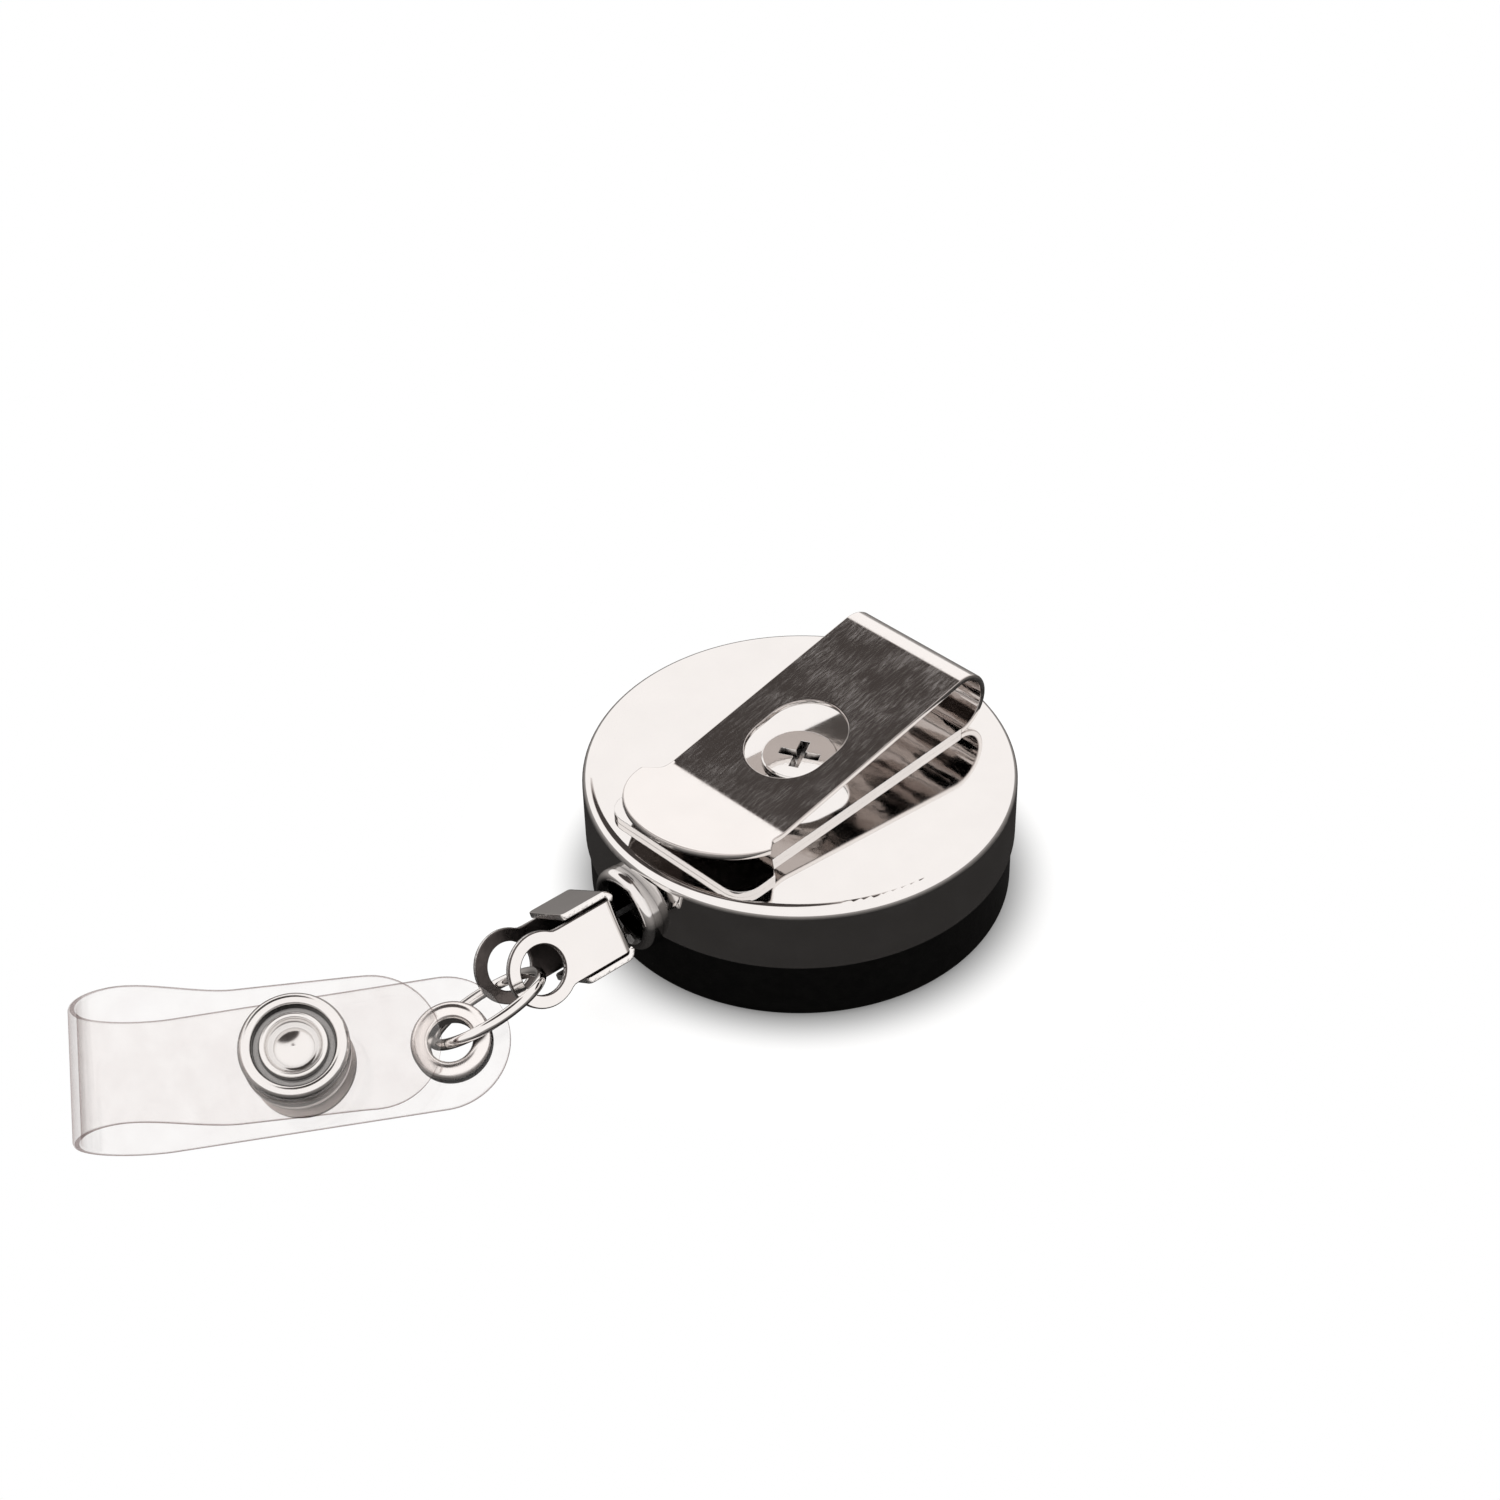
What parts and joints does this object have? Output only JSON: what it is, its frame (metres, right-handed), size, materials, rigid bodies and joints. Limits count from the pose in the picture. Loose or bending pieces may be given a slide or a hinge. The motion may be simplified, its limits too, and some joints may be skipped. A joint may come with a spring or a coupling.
{
  "type": "retractable badge reel",
  "caption": "Round metal retractable reel with a spring belt clip, a cord drum, a folded clevis, a split ring and a clear snap strap that hangs on the ring.",
  "frame": {"origin": "centre of the front cover's flat face, on the reel's axis", "axes": "+Z along the reel's axis, from the front cover towards the belt clip; the cord leaves the case along -Y"},
  "size_m": [0.04, 0.0917, 0.0197],
  "materials": {
    "chrome_case": "polished",
    "black_enamel": "grained gloss",
    "clip_steel": "polished, finely brushed",
    "screw_steel": "polished",
    "grommet_metal": "polished",
    "clevis_steel": "polished, sheared edges",
    "ring_steel": "polished",
    "snap_metal": "polished",
    "clear_vinyl": "clear gloss",
    "drum_plastic": "moulded",
    "spring_steel": "blued strip",
    "post_steel": "turned",
    "cord_nylon": "braided"
  },
  "bodies": {
    "case": {"front_cover": "black_enamel", "back_case": "chrome_case", "grommet": "grommet_metal", "centre_post": "post_steel", "clip_screw": "screw_steel", "lock_washer": "spring_steel", "thrust_washer": "drum_plastic", "clip_base": "clip_steel", "clip_bend": "clip_steel", "cord_lead": "cord_nylon"},
    "spool": {"drum": "drum_plastic", "spring_cover": "spring_steel", "mainspring": "spring_steel", "cord_coil": "cord_nylon"},
    "cord_end": {"pull_cord": "cord_nylon", "cord_knot": "cord_nylon"},
    "yoke": {"clevis": "clevis_steel"},
    "ring": {"jump_ring": "ring_steel"},
    "strap": {"strap_back": "clear_vinyl", "eyelet": "snap_metal", "eyelet_washer": "snap_metal", "snap_stud": "snap_metal", "snap_cap": "snap_metal"},
    "flap": {"strap_front": "clear_vinyl", "snap_socket": "snap_metal", "snap_ring": "snap_metal"},
    "clip_spring": {"clip_leaf": "clip_steel"}
  },
  "joints": [
    {"name": "cord_pull", "type": "slide", "parent": "case", "child": "cord_end", "axis": [0, -1, 0], "range_m": [0, 0.6], "stiffness_N_per_m": 1.3, "springref_m": -0.9},
    {"name": "spool_spin", "type": "hinge", "parent": "case", "child": "spool", "pos_m": [0, 0, 0.0077], "axis": [0, 0, -1], "range_deg": [0, 2810]},
    {"name": "yoke_spin", "type": "hinge", "parent": "cord_end", "child": "yoke", "pos_m": [0, -0.02295, 0.0077], "axis": [0, -1, 0], "continuous": true},
    {"name": "ring_swing", "type": "hinge", "parent": "yoke", "child": "ring", "pos_m": [0, -0.03195, 0.0077], "axis": [0.8434, 0, 0.5373], "range_deg": [-45, 45]},
    {"name": "strap_swing", "type": "hinge", "parent": "ring", "child": "strap", "pos_m": [0.00253, -0.04175, 0.00708], "axis": [0.3028, -0.3552, 0.8844], "range_deg": [-60, 60]},
    {"name": "flap_open", "type": "hinge", "parent": "strap", "child": "flap", "pos_m": [-0.01406, -0.065, 0.00416], "axis": [0.7525, -0.4803, -0.4506], "range_deg": [0, 60]},
    {"name": "clip_open", "type": "hinge", "parent": "case", "child": "clip_spring", "pos_m": [-0.00025, 0.01333, 0.01645], "axis": [-0.9965, -0.0837, 0], "range_deg": [0, 10], "stiffness_Nm_per_rad": 1.1}
  ],
  "couplings": [
    {"joint": "spool_spin", "follows": "cord_pull", "rad_per_m": 81.566}
  ]
}
